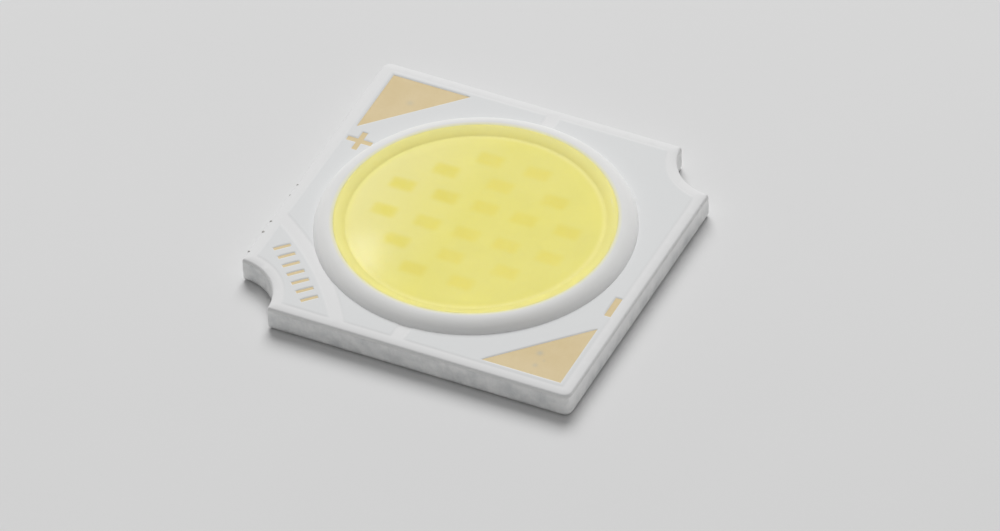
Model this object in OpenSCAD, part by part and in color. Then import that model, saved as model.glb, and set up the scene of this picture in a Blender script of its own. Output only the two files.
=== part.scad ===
// COB LED: a square aluminium-core board with a round field of LED chips. The chips stand on
// the bare base plate, in a window through the board's layers, wired as two strings from the
// plus copper to the minus copper. A bed of settled phosphor covers them, with gel above it,
// inside a white dam ring.
// Sizes are in millimetres. The origin is the centre of the underside, +Z is the way the light
// leaves, +X runs from the plus side to the minus side, and +Y points to the plus pad's edge.

/* [Board] */
// Side of the square board
board_side = 13.35; // [13.2:0.05:14]
// Radius of the screw notches in the front-left and back-right corners
notch_r = 1.9; // [1.5:0.05:2.1]
// Thickness of the aluminium base plate
base_t = 0.85; // [0.6:0.05:1.6]
// Radius of the rolled edge around the face
face_round = 0.14; // [0.05:0.01:0.14]
// Radius of the rounded edge around the underside
back_round = 0.2; // [0.05:0.01:0.25]
// Radius of the board's two whole corners, seen from above
corner_r = 0.3; // [0.26:0.01:0.4]

/* [Layers] */
// Thickness of the insulating layer between base plate and copper
dielectric_t = 0.08; // [0.08:0.01:0.12]
// Thickness of the copper
copper_t = 0.035; // [0.035:0.005:0.07]
// Thickness of the white mask above the copper
mask_t = 0.035; // [0.03:0.005:0.05]
// Thickness of the gold plating on bare copper
plating_t = 0.005; // [0.003:0.001:0.01]
// Radius of the round window through the insulating layer
window_r = 4.6; // [4.55:0.01:4.65]
// Inner radius of the copper
copper_inner_r = 4.7; // [4.68:0.01:4.72]
// Radius of the round window in the mask
mask_window_r = 5.2; // [5.1:0.05:5.3]

/* [Copper] */
// Bare border between the copper and the board's edge
copper_border = 0.42; // [0.3:0.02:0.42]
// Gap between two copper fields
copper_gap = 0.5; // [0.3:0.05:0.6]
// Distance from the board's centre to the marking field, along the diagonal
marking_field_at = 6.01; // [5.95:0.01:6.1]
// Radius of the arc that bounds the marking field
marking_field_r = 13.3; // [12:0.1:15]

/* [Pads and marks] */
// Distance from each centre line to the square corner of a solder pad
pad_corner = 6.1; // [5.9:0.05:6.15]
// Leg of the triangular solder pad
pad_leg = 2.97; // [2.6:0.01:3]
// Centre of the plus mark, X and Y
plus_at = [-5.66, 2.45];
// Length of the plus mark's arms from tip to tip
plus_len = 0.95; // [0.7:0.05:1]
// Stroke width of the plus mark
plus_w = 0.2; // [0.15:0.01:0.25]
// Centre of the minus mark, X and Y
minus_at = [6.12, -1.9];
// Length of the minus mark
minus_len = 0.98; // [0.7:0.01:1]
// Stroke width of the minus mark
minus_w = 0.24; // [0.15:0.01:0.25]
// Number of plain bars in the marking field
bar_count = 7; // [3:1:7]
// Length of one bar
bar_len = 0.62; // [0.4:0.01:0.7]
// Width of one bar
bar_w = 0.13; // [0.08:0.01:0.2]
// Distance between two bars
bar_pitch = 0.48; // [0.35:0.01:0.5]
// Distance from the board's centre to the row of bars, along the diagonal
bar_row_at = 6.58; // [6.5:0.01:6.65]

/* [Dam and gel] */
// Radius of the dam ring at its crest
dam_r = 5.07; // [5.05:0.01:5.09]
// Radius of the dam's round bead
bead_r = 0.6; // [0.58:0.01:0.62]
// Height of the dam's crest above the mask
dam_h = 0.385; // [0.36:0.005:0.4]
// Height of the phosphor bed above the base plate
bed_h = 0.3; // [0.3:0.01:0.34]
// Radius of the phosphor bed's level top
bed_r = 4.15; // [4.1:0.01:4.2]
// Height of the phosphor bed's edge, beside the dam, above the base plate
bed_edge_h = 0.05; // [0.03:0.01:0.06]
// Height of the gel's level middle above the mask
gel_h = 0.345; // [0.32:0.005:0.35]
// Radius at which the gel's edge meets the dam
gel_edge_r = 4.94; // [4.92:0.01:4.95]
// Width of the rim where the gel climbs to the dam
meniscus_w = 0.44; // [0.4:0.01:0.6]

/* [Chips] */
// Size of an LED chip: length, width, height
chip_size = [0.89, 0.56, 0.15];
// Thickness of the die bond under a chip
die_bond_t = 0.02; // [0.01:0.005:0.03]
// Width of the die bond around a chip's foot
die_bond_fillet = 0.03; // [0.01:0.01:0.05]
// Distance of each row of chips from the centre line
row_y = [0.735, 1.99, 3.09];
// One string's chips from plus to minus: X, then the number of the row
string_route = [
    [-3.15, 0], [-2.08, 1], [-1.5, 0], [-0.91, 2], [0, 1],
    [0, 0], [0.91, 2], [1.5, 0], [2.08, 1], [3.15, 0]
];
// Distance from a chip's centre to each of its two contacts
contact_offset = 0.33; // [0.25:0.01:0.36]
// Radius of a chip's contact
contact_r = 0.05; // [0.04:0.005:0.06]
// Height of a chip's contact
contact_t = 0.004; // [0.002:0.001:0.006]

/* [Bond wires] */
// Diameter of the bond wire
wire_d = 0.03; // [0.02:0.005:0.03]
// Rise of a wire's loop above its ends
loop_h = 0.08; // [0.06:0.01:0.08]
// X distance from the centre line to a string's bond on the copper
landing_x = 4.8; // [4.78:0.01:4.85]
// Radius of the ball that starts a wire
ball_r = 0.035; // [0.03:0.005:0.04]
// Radius of the stitch that ends a wire
stitch_r = 0.03; // [0.025:0.005:0.035]
// Height of ball and stitch
bond_h = 0.025; // [0.02:0.005:0.03]

/* [Hidden] */
half = board_side / 2;
copper_z = base_t + dielectric_t;
plating_z = copper_z + copper_t;
face_z = plating_z + mask_t;
bead_z = face_z + dam_h - bead_r;
bed_z = base_t + bed_h;
bed_edge_z = base_t + bed_edge_h;
bed_edge_r = dam_r - sqrt(pow(bead_r, 2) - pow(bed_edge_z - bead_z, 2)) - 0.01;
gel_z = face_z + gel_h;
gel_edge_z = bead_z + sqrt(pow(bead_r, 2) - pow(dam_r - gel_edge_r, 2));
gel_limit_r = (gel_edge_r + dam_r) / 2;
meniscus_rise = gel_edge_z - gel_z;
meniscus_r = (pow(meniscus_w, 2) + pow(meniscus_rise, 2)) / (2 * meniscus_rise);
chip_z = base_t + die_bond_t;
contact_z = chip_z + chip_size[2] + contact_t;
string_len = len(string_route);
string_sides = [1, -1];
chip_count = string_len * len(string_sides);
wire_count = (string_len + 1) * len(string_sides);
wire_steps = 6;
wire_sides = 6;
bond_sides = 8;
wire_lift = wire_d / 2 + 0.002;
over = 0.01;
$fn = 128;

function two_digits(i) = str(i < 10 ? "0" : "", i);
function chip_name(i) = str("led_chip_", two_digits(i));
function wire_name(i) = str("bond_wire_", two_digits(i));

// Chips and wires are numbered from 1, the back string first. A chip or wire number gives its
// string's side, +1 at the back or -1 at the front, and its place along the string.
function chip_side(i) = string_sides[floor((i - 1) / string_len)];
function chip_step(i) = (i - 1) % string_len;
function wire_side(i) = string_sides[floor((i - 1) / (string_len + 1))];
function wire_step(i) = (i - 1) % (string_len + 1);

function chip_at(side, step) = [string_route[step][0], side * row_y[string_route[step][1]]];
function contact_at(side, step, end) =
    [chip_at(side, step)[0] + end * contact_offset, chip_at(side, step)[1], contact_z];
function landing_at(side, end) = [end * landing_x, side * row_y[0], plating_z];
function wire_from(side, step) =
    step == 0 ? landing_at(side, -1) : contact_at(side, step - 1, 1);
function wire_to(side, step) =
    step == string_len ? landing_at(side, 1) : contact_at(side, step, -1);

// What a quarter-round of radius r leaves outside a corner that points up and to the right
module round_waste(r) {
    difference() {
        translate([-r, -r]) square(r + 1);
        translate([-r, -r]) circle(r);
    }
}

// The board's outline, drawn in by an even margin: two corners are notched, and the other two
// are rounded as far in as the margin leaves of their radius
module outline(margin = 0) {
    difference() {
        square(board_side - 2 * margin, center = true);
        for (side = [-1, 1])
            translate([side * half, side * half]) circle(notch_r + margin);
        if (margin < corner_r)
            for (turn = [-90, 90])
                rotate(turn) translate([half - margin, half - margin])
                    round_waste(corner_r - margin);
    }
}

// What is taken off to round the board's upper edge at z = 0: along its sides, around its
// notches and around its whole corners
module edge_waste(r) {
    for (turn = [0:90:270])
        rotate(turn) translate([half, 0, 0]) rotate([90, 0, 0])
            linear_extrude(board_side + 2, center = true) round_waste(r);
    for (side = [-1, 1])
        translate([side * half, side * half, 0])
            rotate_extrude() translate([notch_r, 0]) mirror([1, 0]) round_waste(r);
    for (turn = [-90, 90])
        rotate(turn) translate([half - corner_r, half - corner_r, 0])
            rotate_extrude(angle = 90) translate([corner_r, 0]) round_waste(r);
}

module face_edge_waste() {
    translate([0, 0, face_z]) edge_waste(face_round);
}

// A layer of the given height, made from the flat shape that follows
module layer(z, t) {
    translate([0, 0, z]) linear_extrude(t) children();
}

module marking_disc(r) {
    reach = (marking_field_at + marking_field_r) / sqrt(2);
    translate([-reach, -reach]) circle(r);
}

module copper_field() {
    difference() {
        outline(copper_border);
        circle(copper_inner_r);
    }
}

module positive_field() {
    difference() {
        copper_field();
        translate([-copper_gap / 2, -half]) square(board_side);
        marking_disc(marking_field_r + copper_gap);
    }
}

module negative_field() {
    difference() {
        copper_field();
        translate([copper_gap / 2 - board_side, -half]) square(board_side);
    }
}

module marking_field() {
    intersection() {
        copper_field();
        marking_disc(marking_field_r);
    }
}

// A solder pad in the back-left corner (side = -1) or the front-right corner (side = 1)
module pad_shape(side) {
    polygon([
        [side * pad_corner, -side * pad_corner],
        [side * (pad_corner - pad_leg), -side * pad_corner],
        [side * pad_corner, -side * (pad_corner - pad_leg)]
    ]);
}

module plus_shape() {
    translate(plus_at) {
        square([plus_len, plus_w], center = true);
        square([plus_w, plus_len], center = true);
    }
}

module minus_shape() {
    translate(minus_at) square([minus_w, minus_len], center = true);
}

module bar_shapes() {
    rotate(45) translate([-bar_row_at, 0])
        for (i = [0:bar_count - 1])
            translate([0, (i - (bar_count - 1) / 2) * bar_pitch])
                square([bar_len, bar_w], center = true);
}

module bead_shape() {
    translate([dam_r, bead_z]) circle(bead_r);
}

module base_plate() {
    color([0.72, 0.73, 0.74]) difference() {
        layer(0, base_t) outline();
        mirror([0, 0, 1]) edge_waste(back_round);
    }
}

module dielectric_layer() {
    color([0.36, 0.36, 0.35]) difference() {
        layer(base_t, dielectric_t) difference() {
            outline();
            circle(window_r);
        }
        face_edge_waste();
    }
}

module positive_copper() {
    color([0.72, 0.45, 0.2]) layer(copper_z, copper_t) positive_field();
}

module negative_copper() {
    color([0.72, 0.45, 0.2]) layer(copper_z, copper_t) negative_field();
}

module marking_copper() {
    color([0.72, 0.45, 0.2]) layer(copper_z, copper_t) marking_field();
}

module gold_plating() {
    color([0.82, 0.75, 0.6]) layer(plating_z, plating_t) children();
}

module positive_pad() {
    gold_plating() pad_shape(-1);
}

module negative_pad() {
    gold_plating() pad_shape(1);
}

module plus_mark() {
    gold_plating() plus_shape();
}

module minus_mark() {
    gold_plating() minus_shape();
}

module marking_bars() {
    gold_plating() bar_shapes();
}

// White mask: it lies over the copper and fills the gaps between the copper fields
module solder_mask() {
    color([0.93, 0.94, 0.94]) difference() {
        layer(copper_z, copper_t + mask_t) difference() {
            outline();
            circle(mask_window_r);
            pad_shape(-1);
            pad_shape(1);
            plus_shape();
            minus_shape();
            bar_shapes();
        }
        layer(copper_z - over, copper_t + over) {
            positive_field();
            negative_field();
            marking_field();
        }
        face_edge_waste();
    }
}

// White silicone bead: it covers the edges of the layers and the strings' end bonds
module dam_ring() {
    color([0.95, 0.95, 0.94]) difference() {
        rotate_extrude() intersection() {
            bead_shape();
            translate([dam_r - bead_r, base_t]) square(2 * bead_r);
        }
        layer(base_t - over, dielectric_t + over) difference() {
            circle(half);
            circle(window_r);
        }
        layer(copper_z - over, copper_t + over) {
            positive_field();
            negative_field();
        }
        layer(copper_z - over, copper_t + mask_t + over) difference() {
            circle(half);
            circle(mask_window_r);
        }
        for (side = string_sides, step = [0, string_len]) bond_wire(side, step);
    }
}

// Section of the phosphor bed, from the axis into the bead
module bed_shape() {
    polygon([
        [0, base_t], [dam_r, base_t], [dam_r, bed_edge_z],
        [bed_edge_r, bed_edge_z], [bed_r, bed_z], [0, bed_z]
    ]);
}

// Phosphor that has settled in silicone: it buries the chips and the wires between them
module phosphor_bed() {
    color([0.88, 0.82, 0.35]) difference() {
        rotate_extrude() difference() {
            bed_shape();
            bead_shape();
        }
        die_bonds();
        for (side = string_sides, step = [0:string_len - 1]) led_chip(side, step);
        for (side = string_sides, step = [0:string_len]) bond_wire(side, step);
    }
}

// Gel silicone: it fills the dam above the bed and lies close around the strings' end wires
module phosphor_gel() {
    color([0.93, 0.91, 0.65]) difference() {
        rotate_extrude() difference() {
            translate([0, base_t]) square([gel_limit_r, 2 * bead_r]);
            translate([-over, gel_z]) square([over + gel_edge_r - meniscus_w, 2]);
            translate([gel_edge_r - meniscus_w, gel_z + meniscus_r]) circle(meniscus_r);
            bead_shape();
            bed_shape();
        }
        for (side = string_sides, step = [0, string_len]) bond_wire(side, step);
    }
}

module die_bonds() {
    foot = [chip_size[0] + 2 * die_bond_fillet, chip_size[1] + 2 * die_bond_fillet];
    color([0.9, 0.9, 0.88])
        for (side = string_sides, step = [0:string_len - 1])
            layer(base_t, die_bond_t) translate(chip_at(side, step)) square(foot, center = true);
}

module led_chip(side, step) {
    place = chip_at(side, step);
    color([0.6, 0.72, 0.85]) {
        layer(chip_z, chip_size[2]) translate(place)
            square([chip_size[0], chip_size[1]], center = true);
        for (end = [-1, 1])
            layer(contact_z - contact_t - over, contact_t + over)
                translate([place[0] + end * contact_offset, place[1]])
                    circle(contact_r, $fn = bond_sides);
    }
}

// Centre line of a wire that leaves one bond and comes down on the next
function loop_point(from, to, t) =
    from + t * (to - from) + [0, 0, wire_lift + loop_h * (1 - pow(2 * t - 1, 4))];

// Ring of points around the wire where its centre line is at t
function loop_ring(from, to, t) =
    let (
        here = loop_point(from, to, t),
        step = 0.5 / wire_steps,
        ahead = loop_point(from, to, min(t + step, 1)) - loop_point(from, to, max(t - step, 0)),
        along = ahead / norm(ahead),
        flat = norm([along[0], along[1]]),
        across = [-along[1], along[0], 0] / flat,
        up = cross(along, across)
    )
    [for (k = [0:wire_sides - 1])
        let (turn = 360 * k / wire_sides)
        here + wire_d / 2 * (cos(turn) * across + sin(turn) * up)];

// Side faces between two rings of a tube, then its two end faces
function tube_faces(rings, sides) = concat(
    [for (i = [0:rings - 2], k = [0:sides - 1])
        [i * sides + k, i * sides + (k + 1) % sides,
         (i + 1) * sides + (k + 1) % sides, (i + 1) * sides + k]],
    [[for (k = [sides - 1:-1:0]) k]],
    [[for (k = [0:sides - 1]) (rings - 1) * sides + k]]
);

module bond_wire(side, step) {
    from = wire_from(side, step);
    to = wire_to(side, step);
    color([0.85, 0.68, 0.3]) {
        translate(from) cylinder(r = ball_r, h = bond_h, $fn = bond_sides);
        translate(to) cylinder(r = stitch_r, h = bond_h, $fn = bond_sides);
        polyhedron(
            points = [for (i = [0:wire_steps], p = loop_ring(from, to, i / wire_steps)) p],
            faces = tube_faces(wire_steps + 1, wire_sides)
        );
    }
}

base_plate();
dielectric_layer();
positive_copper();
negative_copper();
marking_copper();
positive_pad();
negative_pad();
plus_mark();
minus_mark();
marking_bars();
solder_mask();
dam_ring();
phosphor_bed();
phosphor_gel();
die_bonds();
for (i = [1:chip_count])
    led_chip(chip_side(i), chip_step(i));
for (i = [1:wire_count])
    bond_wire(wire_side(i), wire_step(i));
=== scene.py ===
"""Looks of a COB LED board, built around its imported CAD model.

Lengths in the classes are millimetres in the part's own frame: the origin is the centre of the
underside, +Z is the way the light leaves. Every mesh is scaled to metres when it is made.
"""

from __future__ import annotations

import sys

import logging
import math
from dataclasses import dataclass, field
from enum import Enum
from typing import Sequence

import bmesh
import bpy
import numpy as np
from mathutils import Matrix, Vector, noise
from mathutils.geometry import delaunay_2d_cdt

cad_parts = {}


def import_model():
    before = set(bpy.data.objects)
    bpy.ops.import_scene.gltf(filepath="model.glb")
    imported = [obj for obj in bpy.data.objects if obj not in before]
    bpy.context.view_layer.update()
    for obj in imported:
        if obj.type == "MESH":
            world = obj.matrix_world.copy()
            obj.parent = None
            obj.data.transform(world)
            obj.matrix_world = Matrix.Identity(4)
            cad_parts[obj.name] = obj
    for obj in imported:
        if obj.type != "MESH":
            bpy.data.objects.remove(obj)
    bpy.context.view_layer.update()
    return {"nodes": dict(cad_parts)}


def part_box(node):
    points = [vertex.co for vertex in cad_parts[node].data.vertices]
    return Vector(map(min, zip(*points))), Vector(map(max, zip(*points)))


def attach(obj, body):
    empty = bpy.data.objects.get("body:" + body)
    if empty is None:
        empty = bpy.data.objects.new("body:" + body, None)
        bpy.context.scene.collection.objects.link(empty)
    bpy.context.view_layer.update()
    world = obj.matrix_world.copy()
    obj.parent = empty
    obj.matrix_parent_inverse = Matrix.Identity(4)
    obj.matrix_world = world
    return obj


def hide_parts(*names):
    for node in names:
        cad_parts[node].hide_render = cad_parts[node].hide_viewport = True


frame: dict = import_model()

MM: float = 0.001
BODY: str = "root"
GEL_RISE: float = 0.345  # height of the gel's level middle above the board's face
ROUND: int = 256  # points around every ring of the light field and of its windows
log: logging.Logger = logging.getLogger("cob_led")

Colour = tuple[float, float, float]
Loop = np.ndarray
Feed = bpy.types.NodeSocket | float | tuple


# ---------------------------------------------------------------- numbers and shapes


def smooth(x: np.ndarray) -> np.ndarray:
    """Returns x clamped to 0..1 and eased at both ends."""
    x = np.clip(x, 0.0, 1.0)
    return x * x * (3.0 - 2.0 * x)


def shade(colour: Colour, share: float) -> Colour:
    """Returns a colour with each part multiplied by share."""
    return tuple(share * part for part in colour)


def ripple(points: np.ndarray, scale: float, seed: float, octaves: int = 3) -> np.ndarray:
    """Smooth noise at points.

    Args:
        points: N x 2 or N x 3 positions in millimetres.
        scale: Waves per millimetre.
        seed: Shifts the pattern.
        octaves: Number of finer layers.

    Returns:
        N values of about -1..1.
    """
    shift = Vector((seed, 2.3 * seed, -seed))
    return np.array([
        noise.fractal(Vector(p).to_3d() * scale + shift, 0.6, 2.0, octaves) for p in points
    ])


def arc(centre: Sequence[float], radius: float, start: float, end: float, count: int) -> Loop:
    """Points on an arc, both ends included.

    Args:
        centre: X and Y of the centre.
        radius: Radius of the arc.
        start: First angle in radians.
        end: Last angle in radians.
        count: Number of points.

    Returns:
        count x 2 points.
    """
    angles = np.linspace(start, end, count)
    return np.stack([
        centre[0] + radius * np.cos(angles), centre[1] + radius * np.sin(angles)
    ], axis=1)


def circle(radius: float, count: int) -> Loop:
    """Returns count points on a circle about the origin, counter-clockwise."""
    return arc((0.0, 0.0), radius, 0.0, 2.0 * math.pi, count + 1)[:-1]


def rectangle(centre: Sequence[float], size: Sequence[float], turn: float = 0.0) -> Loop:
    """Returns the four corners of a rectangle, turned by an angle in radians about its centre."""
    corners = np.array([(-1, -1), (1, -1), (1, 1), (-1, 1)], float) * np.array(size) / 2.0
    c, s = math.cos(turn), math.sin(turn)
    return corners @ np.array([[c, s], [-s, c]]) + np.array(centre)


def inside(points: np.ndarray, loop: Loop) -> np.ndarray:
    """Even-odd test.

    Args:
        points: N x 2 points.
        loop: Closed polygon.

    Returns:
        N booleans, True inside the loop.
    """
    x, y = points[:, 0], points[:, 1]
    result = np.zeros(len(points), bool)
    following = np.roll(loop, -1, axis=0)
    for (ax, ay), (bx, by) in zip(loop, following):
        if ay == by:
            continue
        crosses = (ay > y) != (by > y)
        result ^= crosses & (x < (bx - ax) * (y - ay) / (by - ay) + ax)
    return result


def distance_to(points: np.ndarray, loop: Loop) -> np.ndarray:
    """Distance to a closed polygon's edge.

    Args:
        points: N x 2 points.
        loop: Closed polygon.

    Returns:
        N distances, negative inside.
    """
    nearest = np.full(len(points), np.inf)
    following = np.roll(loop, -1, axis=0)
    for a, b in zip(loop, following):
        along = b - a
        t = np.clip((points - a) @ along / max(along @ along, 1e-12), 0.0, 1.0)
        nearest = np.minimum(nearest, np.hypot(*(points - a - t[:, None] * along).T))
    return np.where(inside(points, loop), -nearest, nearest)


def offset(loop: Loop, distance: float) -> Loop:
    """A closed polygon grown by a small distance, with mitred corners.

    Args:
        loop: Counter-clockwise polygon.
        distance: How far out each edge moves; negative moves it in.

    Returns:
        The moved polygon, with as many points.
    """
    ahead = np.roll(loop, -1, axis=0) - loop
    ahead /= np.linalg.norm(ahead, axis=1)[:, None]
    out = np.stack([ahead[:, 1], -ahead[:, 0]], axis=1)
    before = np.roll(out, 1, axis=0)
    mitre = out + before
    mitre /= np.maximum((mitre * out).sum(axis=1), 0.35)[:, None]
    return loop + mitre * distance


def thicken(loop: Loop, step: float) -> Loop:
    """Adds points to a polygon.

    Args:
        loop: Closed polygon.
        step: The longest that an edge may be.

    Returns:
        The same polygon with more points.
    """
    made: list[np.ndarray] = []
    for a, b in zip(loop, np.roll(loop, -1, axis=0)):
        parts = max(1, math.ceil(float(np.linalg.norm(b - a)) / step))
        made.extend(a + (b - a) * i / parts for i in range(parts))
    return np.array(made)


def plan_mesh(rim: Loop, holes: Sequence[Loop] = (), lines: Sequence[Loop] = (),
              spare: Sequence[np.ndarray] = ()) -> tuple[np.ndarray, np.ndarray]:
    """Triangulates the plan inside a rim.

    Args:
        rim: Closed polygon around the plan.
        holes: Closed polygons that stay open.
        lines: More closed polygons whose edges must appear.
        spare: N x 2 more points.

    Returns:
        The points, M x 2, and the triangles, T x 3, counter-clockwise.
    """
    points: list[tuple[float, float]] = []
    edges: list[tuple[int, int]] = []
    for loop in (rim, *holes, *lines):
        first = len(points)
        points.extend(map(tuple, loop))
        edges.extend((first + i, first + (i + 1) % len(loop)) for i in range(len(loop)))
    points.extend(map(tuple, spare))
    found = delaunay_2d_cdt([Vector(p) for p in points], edges, [], 0, 1e-6, False)
    plan = np.array([tuple(v) for v in found[0]])
    tris = np.array(found[2])
    a, b, c = plan[tris[:, 0]], plan[tris[:, 1]], plan[tris[:, 2]]
    area = (b - a)[:, 0] * (c - a)[:, 1] - (b - a)[:, 1] * (c - a)[:, 0]
    tris[area < 0] = tris[area < 0][:, ::-1]
    tris = tris[np.abs(area) > 1e-9]
    centres = plan[tris].mean(axis=1)
    keep = inside(centres, rim)
    for hole in holes:
        keep &= ~inside(centres, hole)
    return plan, tris[keep]


def border_edges(tris: np.ndarray) -> list[tuple[int, int]]:
    """Returns the directed edges that only one triangle has."""
    sides = {(int(t[i]), int(t[(i + 1) % 3])) for t in tris for i in range(3)}
    return [(a, b) for a, b in sides if (b, a) not in sides]


def band(first: int, second: int, count: int) -> list[tuple[int, ...]]:
    """Quads between two rings of vertices.

    Args:
        first: Index where the lower ring starts.
        second: Index where the upper ring starts.
        count: Points in each ring, counter-clockwise.

    Returns:
        The quads, facing outwards.
    """
    return [
        (first + i, first + (i + 1) % count, second + (i + 1) % count, second + i)
        for i in range(count)
    ]


@dataclass
class Shell:
    """Vertices and faces of one piece while it is being made.

    Attributes:
        points: Blocks of vertices, in millimetres.
        faces: Faces as vertex numbers.
        count: Number of vertices so far.
    """

    points: list[np.ndarray] = field(default_factory=list)
    faces: list[tuple[int, ...]] = field(default_factory=list)
    count: int = 0

    def add(self, points: np.ndarray) -> int:
        """Adds vertices and returns the number of the first."""
        first = self.count
        self.points.append(np.asarray(points, float))
        self.count += len(points)
        return first

    def ring(self, loop: Loop, height: float | np.ndarray) -> int:
        """Adds a flat loop at a height and returns the number of its first vertex."""
        heights = np.broadcast_to(height, len(loop))
        return self.add(np.column_stack([loop, heights]))

    def sheet(self, plan: np.ndarray, heights: np.ndarray, tris: np.ndarray,
              up: bool = True) -> int:
        """Adds a triangulated sheet.

        Args:
            plan: N x 2 points.
            heights: Height of each point.
            tris: Triangles of the plan, counter-clockwise.
            up: Whether the sheet faces up.

        Returns:
            The number of its first vertex.
        """
        first = self.add(np.column_stack([plan, heights]))
        self.faces += [tuple(int(i) + first for i in (t if up else t[::-1])) for t in tris]
        return first

    def wall(self, rings: Sequence[int], count: int) -> None:
        """Joins each ring of count vertices to the next one above it."""
        for lower, upper in zip(rings, rings[1:]):
            self.faces += band(lower, upper, count)

    def cap(self, first: int, count: int, up: bool) -> None:
        """Closes a ring with one flat face that looks up or down."""
        face = tuple(range(first, first + count))
        self.faces.append(face if up else face[::-1])

    def hang(self, profile: Sequence[tuple[float, float]], first: int) -> None:
        """Hangs a round wall from a ring and closes it underneath.

        Args:
            profile: Radius and height of each circle, from the top down.
            first: Index where the ring that the wall hangs from starts.
        """
        last = first
        for radius, z in profile:
            ring = self.ring(circle(radius, ROUND), z)
            self.faces += band(ring, last, ROUND)
            last = ring
        self.cap(last, ROUND, up=False)

    def all_points(self) -> np.ndarray:
        """Returns every vertex as one N x 3 array."""
        return np.concatenate(self.points)

    def piece(self, name: str, crease: float = 180.0) -> bpy.types.Object:
        """Makes the Blender object, smooth except at its creases.

        Args:
            name: Name of the piece.
            crease: Angle in degrees from which an edge is a crease.

        Returns:
            The object, linked to the scene, in metres.
        """
        mesh = bpy.data.meshes.new(name)
        mesh.from_pydata((self.all_points() * MM).tolist(), [], self.faces)
        mesh.validate()
        mesh.update()
        mesh.polygons.foreach_set("use_smooth", [True] * len(mesh.polygons))
        if crease < 180.0:
            mesh.set_sharp_from_angle(angle=math.radians(crease))
        made = bpy.data.objects.new(name, mesh)
        bpy.context.scene.collection.objects.link(made)
        return made


def note(piece: bpy.types.Object, name: str, values: np.ndarray) -> None:
    """Stores one number for each vertex as an attribute of the piece's mesh."""
    made = piece.data.attributes.new(name, "FLOAT", "POINT")
    made.data.foreach_set("value", np.asarray(values, np.float32))


# ---------------------------------------------------------------- finishes


class Wiring:
    """Short calls that every node tree of this file shares.

    Attributes:
        tree: The node tree that the calls work on.
    """

    tree: bpy.types.NodeTree

    def link(self, source: bpy.types.NodeSocket, target: bpy.types.NodeSocket) -> None:
        """Joins two sockets."""
        self.tree.links.new(source, target)

    def feed(self, socket: bpy.types.NodeSocket, value: Feed) -> None:
        """Feeds one input.

        Args:
            socket: The input.
            value: Socket to link to it, or number or colour to set on it.
        """
        if isinstance(value, bpy.types.NodeSocket):
            self.link(value, socket)
        elif isinstance(value, tuple) and socket.type == "RGBA":
            socket.default_value = (*value, 1.0)
        else:
            socket.default_value = value

    def node(self, kind: str, **inputs: Feed) -> bpy.types.Node:
        """Adds a node.

        Args:
            kind: Type of the node.
            inputs: What feeds each input; an underscore in a name stands for a space.

        Returns:
            The node.
        """
        made = self.tree.nodes.new(kind)
        for key, value in inputs.items():
            self.feed(made.inputs[key.replace("_", " ")], value)
        return made

    def math(self, kind: str, *parts: Feed) -> bpy.types.NodeSocket:
        """Adds one arithmetic operation.

        Args:
            kind: The operation.
            parts: Sockets or numbers, in order.

        Returns:
            The result's socket.
        """
        made = self.node("ShaderNodeMath")
        made.operation = kind
        for socket, part in zip(made.inputs, parts):
            self.feed(socket, part)
        return made.outputs[0]


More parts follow.
